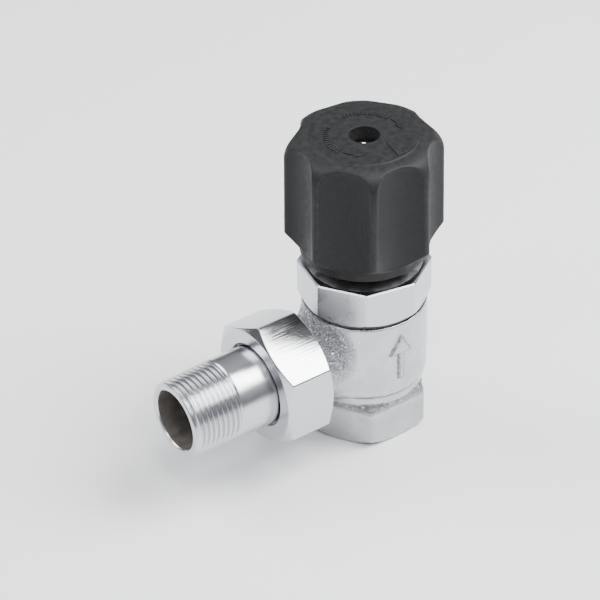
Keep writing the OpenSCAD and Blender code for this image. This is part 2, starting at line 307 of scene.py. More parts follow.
def columns_of(count):
    """Angles of a turned form's columns, as one row."""
    return np.linspace(0, FULL_TURN, count, endpoint=False)[None, :]


def lathe(outline, columns, shape=None):
    """Points of a turned form: rows follow the outline, and shape(r, z, angle) may change r."""
    angle = columns_of(columns)
    r = outline[:, 0][:, None] + 0 * angle
    z = outline[:, 1][:, None] + 0 * angle
    if shape is not None:
        r = shape(r, z, angle)
    return np.stack([r * np.cos(angle), r * np.sin(angle), z], -1)


def along_outlet(points):
    """Turns points made about +Z so that they lie about the outlet axis, with +Z along -X."""
    return np.stack([-points[..., Z], points[..., Y], points[..., X] + outlet_z], -1)


def solid_lathe(name, outline, columns, material, body, shape=None, replaces=(), outlet=False):
    """A closed turned solid from a closed outline, upright or along the outlet."""
    points = lathe(outline, columns, shape)
    if outlet:
        points = along_outlet(points)
    faces = grid_faces(len(outline), columns)
    obj = make_object(name, points.reshape(-1, 3), faces, material, body, replaces)
    fix_outward(obj)
    weighted_normals(obj)
    return obj


def polygon_radius(angle, apothem, sides, turn, corner=0.35, crown=0.0):
    """Distance to a regular polygon with slightly rounded corners, and sides crowned by a height."""
    step = FULL_TURN / sides
    a = (angle - turn) % step - step / 2
    flat = (apothem + crown * (0.5 - (np.tan(a) / math.tan(step / 2)) ** 2)) / np.cos(a)
    tip = apothem / math.cos(step / 2)
    edge = np.abs(np.abs(a) - step / 2) * tip
    sag = np.maximum(corner - edge, 0) ** 2 / (2 * corner) * math.tan(step / 2)
    return flat - sag


def thread_groove(z, angle, pitch, hand=1):
    """A thread's form: 0 on the narrow land of its crest, and 1 at the root."""
    phase = z / pitch + hand * angle / FULL_TURN
    triangle = 1 - 2 * np.abs((phase + 0.5) % 1 - 0.5)
    flat = np.clip(triangle * 1.3 - 0.15, 0, 1)
    return 1 - (flat * flat * (3 - 2 * flat) * 0.35 + flat * 0.65)


# ---------------------------------------------------------------- distance fields, for the casting
def gradient(field, p, step=0.01):
    """Gradient of a distance field, by central differences."""
    g = np.empty_like(p)
    for axis in range(3):
        shift = np.zeros(3)
        shift[axis] = step
        g[:, axis] = (field(p + shift) - field(p - shift)) / (2 * step)
    return g


def sample(field, axes):
    """Values of a field at the corners of a grid."""
    shape = tuple(len(a) for a in axes)
    values = np.empty(shape, np.float32)
    yy, zz = np.meshgrid(axes[Y], axes[Z], indexing="ij")
    for i, x in enumerate(axes[X]):
        slab = np.stack([np.full_like(yy, x), yy, zz], -1).reshape(-1, 3)
        values[i] = field(slab).reshape(shape[1:])
    return values


def crossed_cells(values):
    """Which cells the surface crosses, and the mean place of its crossings in each, counted in cells."""
    inside = values < 0
    cells = tuple(s - 1 for s in values.shape)
    total = np.zeros(cells + (3,), np.float32)
    crossings = np.zeros(cells, np.int32)
    for axis in range(3):
        b, c = (other for other in range(3) if other != axis)
        for u in (0, 1):
            for v in (0, 1):
                near = [slice(0, s) for s in cells]
                near[b] = slice(u, cells[b] + u)
                near[c] = slice(v, cells[c] + v)
                far = list(near)
                far[axis] = slice(1, cells[axis] + 1)
                f0, f1 = values[tuple(near)], values[tuple(far)]
                crossed = inside[tuple(near)] != inside[tuple(far)]
                place = np.zeros(cells + (3,), np.float32)
                place[..., axis] = np.where(crossed, f0 / np.where(crossed, f0 - f1, 1), 0)
                place[..., b] = u
                place[..., c] = v
                total += place * crossed[..., None]
                crossings += crossed
    used = crossings > 0
    return used, np.argwhere(used) + total[used] / crossings[used][:, None]


def pull_to_surface(field, points, longest, rounds=4):
    """Moves points on to field = 0, no further than a length in each round."""
    for _ in range(rounds):
        f = field(points)[:, None]
        g = gradient(field, points)
        move = -f * g / np.maximum((g * g).sum(1, keepdims=True), 0.05)
        length = np.linalg.norm(move, axis=1, keepdims=True)
        points = points + move * np.minimum(1, longest / np.maximum(length, 1e-9))
    return points


def net_quads(inside, index):
    """A quad through the four cells round each grid edge that the surface crosses."""
    faces = []
    for axis in range(3):
        b, c = (axis + 1) % 3, (axis + 2) % 3
        near = [slice(1, s - 1) for s in inside.shape]
        near[axis] = slice(0, inside.shape[axis] - 1)
        far = list(near)
        far[axis] = slice(1, inside.shape[axis])
        edges = np.argwhere(inside[tuple(near)] != inside[tuple(far)])
        edges[:, b] += 1
        edges[:, c] += 1
        starts_inside = inside[tuple(edges.T)]
        corners = []
        for back_b, back_c in ((1, 1), (0, 1), (0, 0), (1, 0)):
            cell = edges.copy()
            cell[:, b] -= back_b
            cell[:, c] -= back_c
            corners.append(index[tuple(cell.T)])
        quads = np.stack(corners, 1)
        quads[~starts_inside] = quads[~starts_inside][:, ::-1]
        faces.append(quads)
    return np.concatenate(faces)


def surface_net(field, low, high, pitch):
    """Closed quad mesh of field = 0: one point in each crossed cell, moved on to the surface."""
    axes = [np.arange(low[i], high[i] + pitch, pitch) for i in range(3)]
    values = sample(field, axes)
    used, places = crossed_cells(values)
    index = np.full(used.shape, -1, np.int64)
    index[used] = np.arange(used.sum())
    points = np.array([a[0] for a in axes]) + places * pitch
    return pull_to_surface(field, points, 0.5 * pitch), net_quads(values < 0, index)


def polygon_distance(u, v, corners):
    """Signed distance to a closed outline in a plane, negative inside."""
    best = np.full(u.shape, 1e9)
    inside = np.zeros(u.shape, bool)
    count = len(corners)
    for i in range(count):
        (ax, ay), (bx, by) = corners[i], corners[(i + 1) % count]
        ex, ey = bx - ax, by - ay
        wx, wy = u - ax, v - ay
        t = np.clip((wx * ex + wy * ey) / (ex * ex + ey * ey), 0, 1)
        best = np.minimum(best, (wx - ex * t) ** 2 + (wy - ey * t) ** 2)
        straddles = (ay > v) != (by > v)
        with np.errstate(divide="ignore", invalid="ignore"):
            left = u < (bx - ax) * (v - ay) / (by - ay) + ax
        inside ^= straddles & left
    return np.where(inside, -1, 1) * np.sqrt(best)


def barrel_distance(r, z):
    """The round barrel, and the cone and foot that carry it on the boss, down to a height inside the boss."""
    past_axis = -30
    inside_boss_z = 10
    outline = ((past_axis, inside_boss_z), (foot_r - 1.5, inside_boss_z), (foot_r - 1.5, boss_top_h - 1),
               (foot_r, boss_top_h), (foot_r + 0.9, boss_top_h + 1.8),
               (crease_r, crease_z), (barrel_r - 0.25, crease_z + 1.0),
               (barrel_r, barrel_round_z), (barrel_r, barrel_top), (past_axis, barrel_top))
    return smooth_max(polygon_distance(r, z, outline), z - barrel_top, 1.1)


def boss_distance(x, y, z, r):
    """The hexagonal boss, with its corners turned off at both ends by steep cones."""
    slope_r, slope_z = 0.6, 0.8
    hexagon = np.full(x.shape, -1e9)
    for i in range(6):
        a = math.radians(30 + 60 * i)
        side = x * math.cos(a) + y * math.sin(a) - boss_apothem
        hexagon = smooth_max(hexagon, side, 0.4)
    bottom_cone = (r - boss_apothem) * slope_r - z * slope_z
    top_cone = (r - foot_r - 0.2) * slope_r + (z - boss_top_h) * slope_z
    boss = smooth_max(smooth_max(hexagon, bottom_cone, 0.5), top_cone, 0.35)
    return smooth_max(smooth_max(boss, -z, 0.3), z - boss_top_h - 0.5, 0.3)


def hollow_distance(x, z, r, outlet_r):
    """Inlet, seat bore, chamber, bonnet socket and outlet passage."""
    return np.minimum.reduce([np.maximum(r - inlet_sleeve_r + 0.6, z - inlet_depth),
                              np.maximum(r - seat_r, z - floor_z - 1),
                              np.maximum(r - chamber_r, floor_z - z),
                              np.maximum(r - socket_r, socket_z - z),
                              np.maximum(outlet_r - outlet_bore_r, x)])


def body_distance(p):
    """The cast body: barrel, hexagonal boss, outlet neck and flow arrow, less its hollows."""
    x, y, z = p.T
    r = np.hypot(x, y)
    outlet_r = np.hypot(y, z - outlet_z)
    shape = smooth_min(barrel_distance(r, z), boss_distance(x, y, z, r), 0.35)
    neck = np.maximum(outlet_r - neck_r, np.maximum(x, -x - union_thread_start - 0.6))
    shape = smooth_min(shape, neck, neck_fillet_r)
    shape = np.minimum(shape, arrow_distance(p, r))
    near = np.abs(shape) < relief_reach
    shape[near] -= casting_relief(p[near], r[near], outlet_r[near])
    shape = smooth_max(shape, z - barrel_top, 0.35)
    shape = np.maximum(shape, -x - union_thread_start - 0.4)
    return smooth_max(shape, -hollow_distance(x, z, r, outlet_r), 0.3)


random = np.random.default_rng(20)


def waves(count, shortest, longest):
    """Directions, wave numbers and phases whose sum is an irregular field of bumps."""
    directions = random.normal(size=(count, 3))
    directions /= np.linalg.norm(directions, axis=1, keepdims=True)
    lengths = random.uniform(shortest, longest, count)
    return directions * (FULL_TURN / lengths)[:, None], random.uniform(0, FULL_TURN, count)


pebble_waves = waves(18, 3.2, 7.0)
grit_waves = waves(26, 1.15, 2.4)


def relief(p, field):
    """An irregular field of bumps, mostly between -1 and 1."""
    numbers, phases = field
    return np.sin(p @ numbers.T + phases).sum(1) / math.sqrt(len(phases))


def rough_patches(p, r, outlet_r):
    """Where the casting was left rough: above the neck's root, on the boss's shoulder, by the arrow."""
    x, z = p[:, X], p[:, Z]
    neck = fade_in(-x, neck_patch_x, 5) * fade_out(outlet_r, 20, 3)
    neck = neck * np.maximum(fade_in(z, outlet_z - 4, 8), 0.12)
    shoulder = np.clip(1.3 - np.abs(z - boss_top_h + 0.5) / 1.6, 0, 0.9) * (r > 17.8)
    arrow = band(arrow_outline(p), -0.2, 0.9) * (r > barrel_r - 1)
    return np.clip(neck + shoulder + 0.8 * arrow, 0, 1)


def casting_relief(p, r, outlet_r):
    """Height of the casting's texture, in millimetres, which leaves both machined ends plain."""
    z = p[:, Z]
    cast = fade_in(z, 0.6, 1.5) * fade_out(z, barrel_top - 0.4, 1.2)
    grit = np.tanh(relief(p, grit_waves)) * rough_patches(p, r, outlet_r)
    return cast * (pebble_height * relief(p, pebble_waves) + grit_height * grit)


def arrow_outline(p):
    """Distance to the flow arrow's outline on the unrolled barrel, negative inside."""
    turn = (np.arctan2(p[:, Y], p[:, X]) - arrow_az + math.pi) % FULL_TURN - math.pi
    corners = ((-arrow_shaft, arrow_foot_z), (arrow_shaft, arrow_foot_z), (arrow_shaft, arrow_neck_z),
               (arrow_head, arrow_neck_z), (0, arrow_tip_z), (-arrow_head, arrow_neck_z),
               (-arrow_shaft, arrow_neck_z))
    return polygon_distance(turn * barrel_r, p[:, Z], corners)


def arrow_distance(p, r):
    """A round-edged flow arrow that stands proud of the barrel."""
    across = arrow_outline(p) + arrow_edge_r
    height = np.abs(r - barrel_r) - (arrow_proud - arrow_edge_r)
    outside = np.hypot(np.maximum(across, 0), np.maximum(height, 0))
    return outside + np.minimum(np.maximum(across, height), 0) - arrow_edge_r


# ---------------------------------------------------------------- shader tools
def add(owner, kind, **settings):
    """Adds a node; settings that match an input set it, and the others set the node."""
    node = owner.node_tree.nodes.new(kind)
    for key, value in settings.items():
        if hasattr(node, key):
            setattr(node, key, value)
        else:
            node.inputs[key.replace("_", " ")].default_value = value
    return node


def join(owner, source, output, target, socket):
    """Links one node's output to another's input."""
    owner.node_tree.links.new(source.outputs[output], target.inputs[socket])


def new_material(name, color, metallic, roughness):
    """A Principled material with its uniform values on the shader's own sockets."""
    mat = bpy.data.materials.new(name)
    mat.use_nodes = True
    shader = shader_of(mat)
    shader.inputs["Base Color"].default_value = (*color, 1)
    shader.inputs["Metallic"].default_value = metallic
    shader.inputs["Roughness"].default_value = roughness
    return mat


def shader_of(mat):
    """The material's Principled shader."""
    return mat.node_tree.nodes["Principled BSDF"]


def shade(mat, socket, source, output):
    """Links a node to a socket of the material's shader."""
    join(mat, source, output, shader_of(mat), socket)


def attribute(mat, name):
    """Reads a number that a mesh carries on its points."""
    return add(mat, "ShaderNodeAttribute", attribute_name=name)


def noise(mat, scale_per_mm, detail=3.0, roughness=0.55, stretch=(1, 1, 1)):
    """Noise in object space, at a number of features per millimetre."""
    coords = add(mat, "ShaderNodeTexCoord")
    mapping = add(mat, "ShaderNodeMapping", Scale=tuple(s / MM for s in stretch))
    join(mat, coords, "Object", mapping, "Vector")
    node = add(mat, "ShaderNodeTexNoise", Scale=scale_per_mm, Detail=detail, Roughness=roughness)
    join(mat, mapping, "Vector", node, "Vector")
    return node


def arithmetic(mat, operation, *operands, use_clamp=False):
    """A maths node; each operand is a number, or a node with the name of its output."""
    node = add(mat, "ShaderNodeMath", operation=operation, use_clamp=use_clamp)
    for i, operand in enumerate(operands):
        if isinstance(operand, tuple):
            join(mat, *operand, node, i)
        else:
            node.inputs[i].default_value = operand
    return node


def spread(owner, source, output, low, high, from_low=0.3, from_high=0.7):
    """Maps a value to a range."""
    node = add(owner, "ShaderNodeMapRange", From_Min=from_low, From_Max=from_high, To_Min=low, To_Max=high)
    join(owner, source, output, node, "Value")
    return node


def ramp(owner, source, output, stops):
    """Maps a value to a colour; each stop is a place from 0 to 1 and its colour."""
    node = add(owner, "ShaderNodeValToRGB")
    elements = node.color_ramp.elements
    first, *between, last = stops
    for element, (place, color) in zip(elements, (first, last)):
        element.position = place
        element.color = (*color, 1)
    for place, color in between:
        elements.new(place).color = (*color, 1)
    join(owner, source, output, node, "Fac")
    return node


def bump(mat, source, output, height_mm, strength=1.0, below=None):
    """Bump from a value, with its height in millimetres; below is another bump under it."""
    node = add(mat, "ShaderNodeBump", Strength=strength, Distance=height_mm * MM)
    join(mat, source, output, node, "Height")
    if below is not None:
        join(mat, below, "Normal", node, "Normal")
    return node


# ---------------------------------------------------------------- materials
def cast_plate():
    """Chrome over a casting: satin lumps, milled boss sides, gritty, grimy rough patches, and a painted shade
    line in the barrel's crease.
    """
    mat = new_material("cast_plate", (0.52, 0.53, 0.55), 1.0, 0.28)
    rough = attribute(mat, "roughcast")
    milled = attribute(mat, "milled")
    crease_shade = attribute(mat, "crease_shade")
    wide = noise(mat, 0.16)

    strokes = noise(mat, 1.5, detail=2.0, stretch=(1, 1, 0.06))
    lumps = noise(mat, 0.55)
    grit = spread(mat, noise(mat, 1.3, roughness=0.7), "Fac", 0.0, 1.0, 0.36, 0.64)
    gritty = arithmetic(mat, "MULTIPLY", (grit, "Result"), (rough, "Fac"))
    stroked = arithmetic(mat, "MULTIPLY", (strokes, "Fac"), (milled, "Fac"))
    flats = bump(mat, stroked, "Value", 0.03)
    soft = bump(mat, lumps, "Fac", 0.07, 0.8, below=flats)
    shade(mat, "Normal", bump(mat, gritty, "Value", 0.4, below=soft), "Normal")

    satin = spread(mat, wide, "Fac", 0.20, 0.34)
    glint = arithmetic(mat, "MULTIPLY_ADD", (rough, "Fac"), -0.13, (satin, "Result"))
    shade(mat, "Roughness", glint, "Value")

    tone = ramp(mat, wide, "Fac", ((0.3, (0.44, 0.45, 0.47)), (0.7, (0.56, 0.57, 0.59))))
    # Painted shade: the crease's dark line joins the grit and the milled sides in darkening the colour.
    grit_and_crease_shade = arithmetic(mat, "ADD", (gritty, "Value"), (crease_shade, "Fac"))
    grey = arithmetic(mat, "MULTIPLY_ADD", (milled, "Fac"), 0.3, (grit_and_crease_shade, "Value"), use_clamp=True)
    grit_and_shade_mix = add(mat, "ShaderNodeMix", data_type="RGBA", blend_type="MIX")
    join(mat, grey, "Value", grit_and_shade_mix, "Factor")
    clean, grit_and_shade_tone = (socket for socket in grit_and_shade_mix.inputs if socket.type == "RGBA")
    mixed = next(socket for socket in grit_and_shade_mix.outputs if socket.type == "RGBA")
    grit_and_shade_tone.default_value = (0.27, 0.275, 0.29, 1)
    mat.node_tree.links.new(tone.outputs["Color"], clean)
    mat.node_tree.links.new(mixed, shader_of(mat).inputs["Base Color"])
    return mat


def polished_plate(name, brushed, line_height, roughness):
    """Bright chrome over turned brass: fine tool lines, and a little haze."""
    mat = new_material(name, (0.55, 0.56, 0.58), 1.0, 0.12)
    haze = noise(mat, 0.1, detail=2.0)
    shade(mat, "Roughness", spread(mat, haze, "Fac", *roughness), "Result")
    lines = noise(mat, 1.0, stretch=brushed)
    shade(mat, "Normal", bump(mat, lines, "Fac", line_height), "Normal")
    return mat


def bore_metal():
    """The unplated brown-grey wall of the tailpiece's bore."""
    mat = new_material("bore_metal", (0.2, 0.17, 0.145), 0.75, 0.55)
    blotch = noise(mat, 0.35, detail=4.0)
    tone = ramp(mat, blotch, "Fac", ((0, (0.11, 0.1, 0.092)), (1, (0.30, 0.275, 0.25))))
    shade(mat, "Base Color", tone, "Color")
    grain = noise(mat, 2.2, detail=4.0)
    shade(mat, "Normal", bump(mat, grain, "Fac", 0.12), "Normal")
    shade(mat, "Roughness", spread(mat, blotch, "Fac", 0.42, 0.68), "Result")
    return mat


def metal(name, color, roughness, stretch=(1, 1, 8), scale=1.2):
    """Turned bare metal with tool lines and patches of haze."""
    mat = new_material(name, color, 1.0, roughness)
    lines = noise(mat, scale, stretch=stretch)
    shade(mat, "Normal", bump(mat, lines, "Fac", 0.01, 0.8), "Normal")
    haze = noise(mat, 0.3, detail=2.0)
    shade(mat, "Roughness", spread(mat, haze, "Fac", roughness * 0.75, roughness * 1.3), "Result")
    return mat


def black_plastic():
    """Matte black moulding: fine spark-eroded grain, with paler edges that are partly rubbed wear and partly
    painted highlights, a painted lighter top and a painted shaded skirt.
    """
    mat = new_material("black_plastic", (0.012, 0.012, 0.0125), 0.0, 0.55)
    shader_of(mat).inputs["Specular IOR Level"].default_value = 0.22
    scuffs = noise(mat, 0.5, detail=4.0)
    patchy = spread(mat, scuffs, "Fac", 0.5, 1.5)
    # The edge values paint wear, highlights, a lighter top and a shaded skirt into the tint.
    wear_and_painted_light = arithmetic(mat, "MULTIPLY", (attribute(mat, "edge"), "Fac"), (patchy, "Result"))
    tint = ramp(mat, wear_and_painted_light, "Value", ((0, (0.0035, 0.0035, 0.0036)), (1, (0.032, 0.0325, 0.034))))
    shade(mat, "Base Color", tint, "Color")
    grain = noise(mat, 1.8, detail=4.0, roughness=0.65)
    shade(mat, "Normal", bump(mat, grain, "Fac", 0.09, 0.9), "Normal")
    shade(mat, "Roughness", spread(mat, scuffs, "Fac", 0.48, 0.64), "Result")
    return mat


def dull(name, color, roughness, grain_mm=0.02, scale=3.0, speckle=0.25):
    """Rubber, fibre or packing: grain and a little variation of tone."""
    mat = new_material(name, color, 0.0, roughness)
    grain = noise(mat, scale, detail=4.0)
    shade(mat, "Normal", bump(mat, grain, "Fac", grain_mm), "Normal")
    dark = [c * (1 - speckle) for c in color]
    light = [c * (1 + speckle) for c in color]
    shade(mat, "Base Color", ramp(mat, grain, "Fac", ((0, dark), (1, light))), "Color")
    return mat


MATERIALS = {
    "cast_plate": cast_plate(),
    "bonnet_plate": polished_plate("bonnet_plate", (0.9, 0.9, 0.25), 0.012, (0.22, 0.32)),
    "nut_plate": polished_plate("nut_plate", (0.03, 1.4, 1.4), 0.05, (0.1, 0.17)),
    "tail_plate": polished_plate("tail_plate", (1.6, 0.15, 0.15), 0.012, (0.18, 0.27)),
    "bore": bore_metal(),
    "brass": metal("brass", (0.72, 0.52, 0.24), 0.26),
    # Painted shade: the gland nut's near-black tone stands in for the deep shadow under the handwheel.
    "dark_brass": metal("dark_brass", (0.12, 0.105, 0.088), 0.5),
    "stainless": metal("stainless", (0.62, 0.62, 0.63), 0.24),
    "turned_face": metal("turned_face", (0.5, 0.5, 0.51), 0.55),
    "zinc_steel": metal("zinc_steel", (0.72, 0.73, 0.75), 0.16, (1, 1, 1), 2.0),
    "black_plastic": black_plastic(),
    "seal_rubber": dull("seal_rubber", (0.025, 0.025, 0.026), 0.6),
    "fibre": dull("fibre", (0.05, 0.05, 0.053), 0.75, 0.04, 1.6),
    "packing": dull("packing", (0.8, 0.79, 0.75), 0.45, 0.01, 2.0, 0.06),
}


# ---------------------------------------------------------------- pieces
# Outlines are (r, z, fillet radius) corners.
def cast_body():
    """The casting, with round inner corners, rough patches and a painted shade line in the barrel's crease.
    """
    pitch = 0.36
    low = (-union_thread_start - 1.2, -23.0, -0.9)
    high = (23.0, 23.0, barrel_top + 0.9)
    points, quads = surface_net(body_distance, low, high, pitch)
    obj = make_object("cast_body", points, quads.tolist(), "cast_plate", "valve_body",
                      ("body",))
    x, y, z = points.T
    r = np.hypot(x, y)
    clear_of_neck = x > -14
    from_crease = np.hypot(r - crease_r, z - crease_z)
    vertex_attribute(obj, "roughcast", rough_patches(points, r, np.hypot(y, z - outlet_z)))
    vertex_attribute(obj, "milled", fade_out(z, boss_corner_h - 0.5, 1.5))
    # Painted shade: a dark line along the crease between the barrel and the boss's shoulder.
    vertex_attribute(obj, "crease_shade", fade_out(from_crease, 0.7, 0.5) * clear_of_neck)
    normals = gradient(body_distance, points, 0.05)
    normals /= np.maximum(np.linalg.norm(normals, axis=1, keepdims=True), 1e-9)
    obj.data.normals_split_custom_set_from_vertices(normals.tolist())


def outlet_spigot():
    """The end of the casting that carries the union thread."""
    start = union_thread_start
    outline = fillet_outline(((outlet_bore_r, start - 1, 0), (neck_r - 0.1, start - 1, 0),
                              (neck_r, start, 0), (union_thread_r - 0.9, start + 0.1, 0.2),
                              (union_thread_r, start + 0.9, 0.2),
                              (union_thread_r, spigot_end - 1.0, 0.2),
                              (union_thread_r - 1.1, spigot_end, 0.15),
                              (outlet_bore_r + 0.4, spigot_end, 0.15),
                              (outlet_bore_r, spigot_end - 0.4, 0.1)), 3, union_pitch / 12)

    def threaded(r, z, angle):
        fade = fade_in(z, start + 0.4, 1.2) * fade_out(z, spigot_end - 0.2, 0.8)
        depth = union_thread_h * fade * (r > union_thread_r - 0.6)
        return r - depth * thread_groove(z, angle, union_pitch)

    solid_lathe("outlet_spigot", outline, 120, "tail_plate", "valve_body",
                threaded, outlet=True)


def inlet_thread():
    """The tapped wall of the inlet, with the chamfer at its mouth."""
    depth = inlet_depth
    outline = fillet_outline(((inlet_sleeve_r, 0.02, 0), (inlet_sleeve_r, depth - 0.1, 0),
                              (inlet_crest_r - 0.6, depth - 0.1, 0), (inlet_crest_r - 0.6, depth - 1.2, 0.3),
                              (inlet_root_r, depth - 1.6, 0.2), (inlet_crest_r, depth - 2.8, 0.2),
                              (inlet_crest_r, 1.3, 0.2), (inlet_sleeve_r - 0.7, 0.02, 0.1)),
                             3, pipe_pitch / 12)

    def threaded(r, z, angle):
        fade = fade_in(z, 0, 1.0) * fade_out(z, depth - 2.6, 1.0)
        cut = (inlet_root_r - inlet_crest_r) * fade * (r < inlet_crest_r + 0.9)
        return r + cut * thread_groove(z, angle, pipe_pitch, hand=-1)

    solid_lathe("inlet_thread", outline, 120, "cast_plate", "valve_body", threaded)


def tailpiece():
    """The tailpiece: flange, plain pipe and a helical taper thread that runs out towards the nut."""
    thread_start = tail_end - pipe_thread_length
    shoulder = tail_face + tail_flange_t
    end_r = pipe_gauge_r - pipe_gauge_length * pipe_taper
    outline = fillet_outline(((tail_bore_r, tail_face, 0.1), (union_thread_r, tail_face, 0.2),
                              (union_thread_r, shoulder, 0.3), (tail_r, shoulder, 0.3),
                              (tail_r, thread_start, 0.3), (end_r, tail_end - 0.9, 0.1),
                              (end_r - 0.9, tail_end, 0.2), (tail_bore_r + 0.35, tail_end, 0.15),
                              (tail_bore_r, tail_end - 0.5, 0.15)), 4,
                             lambda p: pipe_pitch / 18 if p[1] > thread_start - 1 and p[0] > 11 else 2.0)

    def threaded(r, z, angle):
        fade = fade_in(z, thread_start, 2.2) * fade_out(z, tail_end + 0.4, 1.1)
        depth = pipe_thread_h * fade * (r > end_r - 0.8)
        return r - depth * thread_groove(z, angle, pipe_pitch)

    obj = solid_lathe("tailpiece_threaded", outline, 168, "tail_plate", "tail",
                      threaded, ("tailpiece",), outlet=True)
    paint_faces(obj, "bore", lambda c: math.hypot(c.y, c.z - outlet_z) < tail_bore_r + 0.05)


def union_nut():
    """Hexagonal union nut: crowned sides, chamfered at both ends, tapped at the back."""
    tip_r = nut_apothem / math.cos(math.pi / 6) + 0.1
    chamfer = (tip_r - nut_face_r) * math.tan(math.radians(30))
    shoulder = tail_face + tail_flange_t + 0.1
    outline = fillet_outline(((nut_bore_r + 0.7, nut_back, 0.15), (nut_face_r, nut_back, 0.25),
                              (tip_r, nut_back + chamfer, 0.4), (tip_r, nut_front - chamfer, 0.4),
                              (nut_face_r, nut_front, 0.25), (nut_hole_r + 0.35, nut_front, 0.15),
                              (nut_hole_r, nut_front - 0.4, 0.1), (nut_hole_r, shoulder, 0.2),
                              (nut_bore_r, shoulder, 0), (nut_bore_r, nut_back + 0.8, 0.1)), 5,
                             lambda p: 0.16 if p[0] > nut_bore_r - 1 else 1.0)

    def hexagonal(r, z, angle):
        sides = polygon_radius(angle, nut_apothem, 6, nut_turn, crown=nut_crown)
        outside = smooth_min(r, sides, 0.25)
        fade = fade_in(z, nut_back + 0.5, 1.0) * fade_out(z, shoulder - 1.5, 1.5)
        inside = r + nut_thread_h * fade * thread_groove(z, angle, union_pitch)
        bored = np.where(np.abs(r - nut_bore_r) < 0.15, inside, r)
        return np.where(r > nut_face_r - 1.0, outside, bored)

    solid_lathe("union_nut_hex", outline, 360, "nut_plate", "nut",
                hexagonal, ("union_nut",), outlet=True)


def bonnet():
    """Octagonal bonnet: a thin bevel round its top edge, and corners turned down to the gasket rim."""
    tip_r = bonnet_apothem / math.cos(math.pi / 8) + 0.3
    bevel_z = bonnet_top - bonnet_bevel
    outline = fillet_outline(((gland_bore_r, bonnet_top - 2.5, 0), (gland_bore_r, bonnet_top - 0.3, 0.1),
                              (gland_bore_r + 0.3, bonnet_top, 0.1),
                              (tip_r - bonnet_bevel, bonnet_top, 0.12), (tip_r, bevel_z, 0.12),
                              (tip_r - 0.25, flange_z + bonnet_chamfer_h, 0.2),
                              (bonnet_rim_r, flange_z, 0.15), (socket_r, flange_z, 0),
                              (socket_r, flange_z - 2.5, 0)), 4,
                             lambda p: 0.18 if p[0] > bonnet_rim_r - 0.8 else 1.5)

    def octagonal(r, z, angle):
        sides = polygon_radius(angle, bonnet_apothem, 8, bonnet_turn, corner=0.3)
        sides = sides - np.clip(z - bevel_z, 0, bonnet_bevel)
        return np.where(r > bonnet_rim_r - 1.2, smooth_min(r, sides, 0.12), r)

    obj = solid_lathe("bonnet_octagon", outline, 384, "bonnet_plate", "valve_body",
                      octagonal, ("bonnet",))
    paint_faces(obj, "turned_face",
                lambda c: c.z > bonnet_top - 0.05 and math.hypot(c.x, c.y) < turned_face_r)


def gland_nut():
    """Hexagonal gland nut round the stem."""
    low_y, high_y = span("gland_nut", Y)
    apothem = (high_y - low_y) / 2
    tip_r = apothem / math.cos(math.pi / 6) + 0.1
    neck = gland_bore_r - 0.02
    outline = fillet_outline(((stem_hole_r, bonnet_top - 1.5, 0), (neck, bonnet_top - 1.5, 0),
                              (neck, bonnet_top, 0), (tip_r, bonnet_top + 0.02, 0.1),
                              (tip_r, gland_top - 0.9, 0.3), (apothem - 0.2, gland_top, 0.2),
                              (stem_hole_r + 0.34, gland_top, 0.1), (stem_hole_r, gland_top - 0.3, 0.1)), 4,
                             lambda p: 0.2 if p[0] > gland_bore_r else 1.0)

    def hexagonal(r, z, angle):
        sides = polygon_radius(angle, apothem, 6, 0)
        return np.where(r > gland_bore_r + 0.1, smooth_min(r, sides, 0.15), r)

    # Its near-black colour is painted shade for the dark gap under the handwheel.
    solid_lathe("gland_nut_hex", outline, 240, "dark_brass", "valve_body",
                hexagonal, ("gland_nut",))


def from_flute(angle):
    """Angle away from the middle of the nearest flute."""
    step = FULL_TURN / flutes
    return np.abs((angle - wheel_turn) % step - step / 2)


def fluted(r, z, angle):
    """The handwheel's outside, with its flutes cut as round hollows."""
    a = from_flute(angle)
    reach = flute_floor_r + flute_cut_r
    root = flute_cut_r ** 2 - (reach * np.sin(a)) ** 2
    hollow_r = reach * np.cos(a) - np.sqrt(np.maximum(root, 0))
    return np.where(r > wheel_inner_r + 0.7, smooth_min(r, hollow_r, 0.8), r)


def handwheel_wear_and_painted_light(outline, columns):
    """How pale the plastic is at each point: rubbed wear with painted highlights on crests, arches and the
    rim, a painted lighter top face and shoulder, and painted shade on the skirt.
    """
    angle = columns_of(columns)
    turned_r, height = outline[:, 0][:, None], outline[:, 1][:, None]
    r = fluted(turned_r + 0 * angle, height, angle)
    # Crests, arches and the rim: rubbed wear, and painted highlights along these edges.
    crest = fade_in(from_flute(angle), math.radians(19), math.radians(3)) * (r > 23.5)
    crest = crest * fade_out(height, wheel_top - 5, 7)
    arch = band(turned_r - r, 0.35, 0.5) * (r > flute_floor_r - 0.5)
    rim = band(turned_r, wheel_face_r, 0.35) * (height > wheel_top - 1)
    # Painted light: the top face and the shoulder below the rim are paler, as if lit from above.
    plain = 0.24 + 0.07 * (height > wheel_top - 0.6) + 0.16 * band(height, wheel_top - 1.5, 1.5)
    pale = np.maximum.reduce(np.broadcast_arrays(0.5 * crest, 0.6 * arch, 0.6 * rim, plain))
    # Painted shade: the plastic darkens down the skirt.
    skirt_shade_fade = fade_in(height, skirt_z + 2.5, 2.5)
    return np.maximum(pale * skirt_shade_fade, 0.12)


def handwheel_step(p):
    """Longest step along the handwheel's outline: short where the flutes begin and end."""
    r, z = p
    outside = r > wheel_inner_r + 0.3
    return 0.22 if outside and (z > wheel_top - 9 or z < skirt_z + 9) else 1.0


